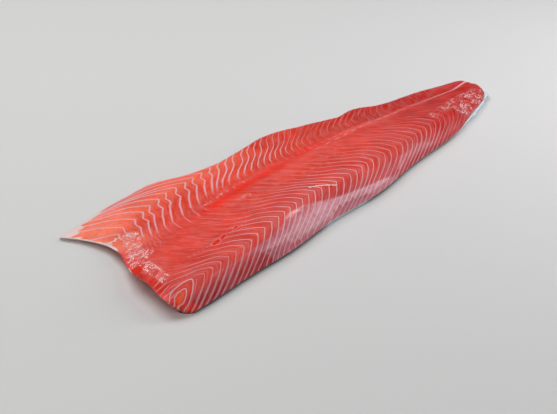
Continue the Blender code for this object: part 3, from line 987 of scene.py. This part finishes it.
spine_line = look.fade("spine_gap", 0.4, 1.6, SPINE_STRENGTH, 0.0)
look.paint(look.times(spine_line, "spine_shown"), FAT)
look.paint(look.fade("slit", -0.6, -0.2, 0.0, SLIT_RIM_STRENGTH), FAT)
look.paint(look.fade("slit", -0.1, 0.3), SLIT_RED)
look.paint(look.fade("dots", -0.2, 0.5, 0.0, DOT_STRENGTH), FAT)
frayed = look.times_plus(fibre_noise, MEMBRANE_FRAY, "membrane")
white = look.times(look.fade(frayed, 0.80, 1.15), look.fade("membrane", 0.0, 0.7))
look.paint(white, MEMBRANE)

# %% [markdown]
# ## Wet, soft flesh
# Wet raw fish is translucent and glossy at once. Light enters, reddens and comes out softened: that is
# the subsurface part. The film of water on top gives sharp pale reflections: that is the coat. Fibres
# and crags that are too fine for the mesh are a bump.

# %% Surface of the flesh
BUMP_STRENGTH, BUMP_DEPTH = 0.45, 0.0006
FIBRE_BUMP, FAT_BUMP, CRINKLE_BUMP = 0.4, 0.2, 0.6

bump_height = look.times_plus(fibre_noise, FIBRE_BUMP, look.times(fat, FAT_BUMP))
torn_bump = look.fade("torn", 0.0, 1.0, 0.15, 0.8)
bump_height = look.times_plus(fine_noise, torn_bump, bump_height)
bump_height = look.times_plus(crinkle_glints, CRINKLE_BUMP, bump_height)
bump = look.put("Bump", {"Strength": BUMP_STRENGTH, "Distance": BUMP_DEPTH, "Height": bump_height})
look.dress(flesh, {
    "Roughness": look.fade(fine_noise, 0.3, 0.7, 0.30, 0.42),
    "Normal": bump,
    "Specular IOR Level": 0.10,
    "Subsurface Weight": 0.15,
    "Subsurface Radius": (1.0, 0.3, 0.2),
    "Subsurface Scale": 0.002,
    "Coat Weight": look.times("film", look.fade(fine_noise, 0.35, 0.6, 0.55, 1.0)),
    "Coat Roughness": 0.05,
    "Coat Normal": bump,
})

# %% [markdown]
# ## The skin
# The skin is a thin sheet that stands out a little all round, and more at the tail, where its rim
# curls up. The knife leaves nicks and waves in the edge, so the rim is cut finer and moved in and out
# by noise.

# %% Cut out the skin and cut its rim finer
RIM_CUTS = 3

skin_bm = merged_copy()
rings = count_rings(skin_bm)
keep_faces(skin_bm, lambda face: all(vert[rings] <= RINGS_TO_FOOT for vert in face.verts))
join_to_squares(skin_bm)
bmesh.ops.contextual_create(skin_bm, geom=[edge for edge in skin_bm.edges if edge.is_boundary])
bmesh.ops.recalc_face_normals(skin_bm, faces=skin_bm.faces)
round_the_rim = [edge for edge in skin_bm.edges if edge.verts[0][rings] == edge.verts[1][rings] > 0]
bmesh.ops.subdivide_edges(skin_bm, edges=round_the_rim, cuts=RIM_CUTS, use_grid_fill=True)
print(f"the rim of the skin has {len(round_the_rim) * (RIM_CUTS + 1)} edges")

# %% Make the skin thin and roughen its rim
SKIN_THINNED = 0.0006        # the body's skin is thicker than the shown one by this much, in metres
THINNEST = 0.0001
RIM_DRAWN_IN = 0.0002
RIM_NICKS, TAIL_NICKS = 0.0003, 0.0022
WIDE_NICKS, NARROW_NICKS, NARROW_SHARE = 130, 380, 0.5
NICKS_SHIFTED = 0.3
TAIL_FLAPS = ((504, 5, 0.0022), (554, 5, 0.0014), (530, 4, 0.0008))     # place, half length, stands out by
TAIL_CURL = 0.0030
CENTRE_LINE = curve(((-30, -10), (100, 5), (300, 5), (450, 8), (560, 2)))
CENTRE_START, CENTRE_END = 30, 535


def rim_noise(vert):
    flat = Vector((vert.co.x, vert.co.y, 0))
    return noise.noise(flat * WIDE_NICKS) + NARROW_SHARE * noise.noise(flat * NARROW_NICKS)


top_corners = [vert for vert in skin_bm.verts if vert.co.z > 0.0004 and not under_flat_faces(vert)]
for vert in top_corners:
    from_head = vert.co.x * TO_MM + HEAD_TO_MIDDLE
    nearest = min(max(from_head, CENTRE_START), CENTRE_END)
    inwards = Vector((nearest - from_head, CENTRE_LINE(from_head) - vert.co.y * TO_MM, 0)).normalized()
    to_tail = float(rise(from_head, 470, 60))
    nicked = (RIM_NICKS + (TAIL_NICKS - RIM_NICKS) * to_tail) * max(rim_noise(vert) + NICKS_SHIFTED, 0)
    reach = RIM_DRAWN_IN + nicked
    if vert.co.y < 0:
        reach -= sum(far * float(bell(from_head - at, half)) for at, half, far in TAIL_FLAPS)
    vert.co += inwards * reach
    vert.co.z = max(vert.co.z + TAIL_CURL * to_tail - SKIN_THINNED, THINNEST)
skin = new_piece("skin", skin_bm)
print(f"the skin has {len(skin.data.polygons)} faces")

# %% [markdown]
# ## The colours of the skin
# A salmon is dark and spotted along its back, silver along its side and white at its belly, so the
# colour follows the place across the fish. The rim that shows at the tail is pale and bluish. The
# scales are a fine bump of small cells.

# %% Skin material
BACK, SILVER, BELLY_SKIN = (0.025, 0.042, 0.055, 1.0), (0.42, 0.47, 0.50, 1.0), (0.72, 0.72, 0.70, 1.0)
CLOUDS, SPOTS, PALE_RIM = (0.30, 0.36, 0.40, 1.0), (0.01, 0.012, 0.014, 1.0), (0.62, 0.76, 0.80, 1.0)

look = Look("silver_skin")
place = look.place()
along, across = (look.put("SeparateXYZ", {0: place}, output=axis) for axis in (0, 1))
scales = look.put("TexVoronoi", {"Vector": place, "Scale": 330.0})
clouds = look.grain(place, 22.0, detail=4.0)
spot_gap = look.put("TexVoronoi", {"Vector": place, "Scale": 55.0})
look.tone = BACK
look.paint(look.fade(across, -0.085, 0.0), SILVER)
look.paint(look.fade(across, 0.02, 0.075), BELLY_SKIN)
look.paint(look.fade(clouds, 0.3, 0.7, 0.0, 0.25), CLOUDS)
spots = look.times(look.fade(spot_gap, 0.10, 0.16, 0.8, 0.0), look.fade(across, -0.02, -0.06))
look.paint(spots, SPOTS)
near_rim = look.fade(across, -0.070, -0.078)
silver_rim = look.times(look.fade(along, -0.090, -0.070), look.fade(along, 0.0, -0.020))
look.paint(look.times(near_rim, silver_rim), PALE_RIM)
look.paint(look.fade(along, 0.160, 0.195), PALE_RIM)
look.dress(skin, {
    "Roughness": look.fade(scales, 0.0, 0.6, 0.3, 0.45),
    "Normal": look.put("Bump", {"Strength": 0.5, "Distance": 0.0004, "Height": scales}),
    "Metallic": 0.2,
})
skin.data.shade_smooth()
skin.data.set_sharp_from_angle(angle=math.radians(50))

# %% Both pieces ride on the body and stand for its node
for piece, slot in ((flesh, "flesh"), (skin, "skin")):
    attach(piece, "root")
    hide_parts("salmon_fillet")
    print(f"{piece.name} has the slot {slot}")

# %% [markdown]
# ## Floor and light
# A plain pale floor and four soft boxes. The main one is high behind the fillet. One is low to the
# right of the camera, and the side of the loin mirrors it as a broad pale sheen. A weak one beside the
# camera fills the shadows, and a small bright one is beyond the tail.

# %% The floor
FLOOR_HALF = 6.0

floor_bm = bmesh.new()
bmesh.ops.create_grid(floor_bm, x_segments=1, y_segments=1, size=FLOOR_HALF)
floor = new_piece("floor", floor_bm)
look = Look("pale_floor")
look.tone = (0.62, 0.62, 0.61, 1.0)
look.dress(floor, {"Roughness": 0.6})


# %% Soft boxes and a dim surrounding
def soft_box(name, azimuth, elevation, distance, width, height, strength, tint=(1.0, 1.0, 1.0)):
    """A rectangular light that looks at the fillet. Azimuth 0 is +X."""
    light = bpy.data.lights.new(name, "AREA")
    light.shape, light.size, light.size_y = "RECTANGLE", width, height
    light.energy = strength * width * height * math.pi
    light.color = tint
    lamp = bpy.data.objects.new(name, light)
    a, e = math.radians(azimuth), math.radians(elevation)
    away = Vector((math.cos(a) * math.cos(e), math.sin(a) * math.cos(e), math.sin(e)))
    lamp.location = away * distance
    lamp.rotation_euler = away.to_track_quat("Z", "Y").to_euler()
    bpy.context.scene.collection.objects.link(lamp)
    print(f"{name} gives {light.energy:.1f} W")


soft_box("top_box", azimuth=92, elevation=56, distance=1.7, width=1.3, height=1.1, strength=4.6)
soft_box(
    "side_box", azimuth=-31, elevation=22, distance=0.84, width=0.48, height=0.62, strength=3.4,
    tint=(0.97, 0.92, 1.0),
)
soft_box("fill_box", azimuth=215, elevation=40, distance=2.0, width=2.0, height=1.6, strength=1.6)
soft_box("small_box", azimuth=5, elevation=48, distance=1.2, width=0.34, height=0.34, strength=6.5)
world = bpy.data.worlds.new("dim_surrounding")
world.use_nodes = True
world.node_tree.nodes["Background"].inputs["Color"].default_value = (0.9, 0.95, 1.0, 1.0)
world.node_tree.nodes["Background"].inputs["Strength"].default_value = 0.06
bpy.context.scene.world = world
bpy.context.scene.view_settings.view_transform = "Standard"
bpy.context.scene.view_settings.look = "None"

# %% [markdown]
# ## The camera
# The head end is near and the tail is far. As in the photo, a long lens keeps it from looking small.

# %% Place the camera
LOOK_AT = Vector((-0.0785, -0.0189, 0.0))
TOWARDS = Vector((0.65040, 0.59714, -0.46947))
CAMERA_DISTANCE = 1.5934
ANGLE_OF_VIEW = math.radians(20)

camera = bpy.data.objects.new("camera", bpy.data.cameras.new("camera"))
camera.data.sensor_width = 36.0
camera.data.lens = camera.data.sensor_width / 2 / math.tan(ANGLE_OF_VIEW / 2)
camera.location = LOOK_AT - TOWARDS * CAMERA_DISTANCE
camera.rotation_euler = TOWARDS.to_track_quat("-Z", "Y").to_euler()
bpy.context.scene.collection.objects.link(camera)
bpy.context.scene.camera = camera
print(f"the camera stands {camera.location.z:.2f} m high with a lens of {camera.data.lens:.0f} mm")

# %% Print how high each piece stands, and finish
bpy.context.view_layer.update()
for piece in (flesh, skin):
    heights = [corner[2] * TO_MM for corner in piece.bound_box]
    print(f"{piece.name} stands from {min(heights):.2f} to {max(heights):.2f} mm")
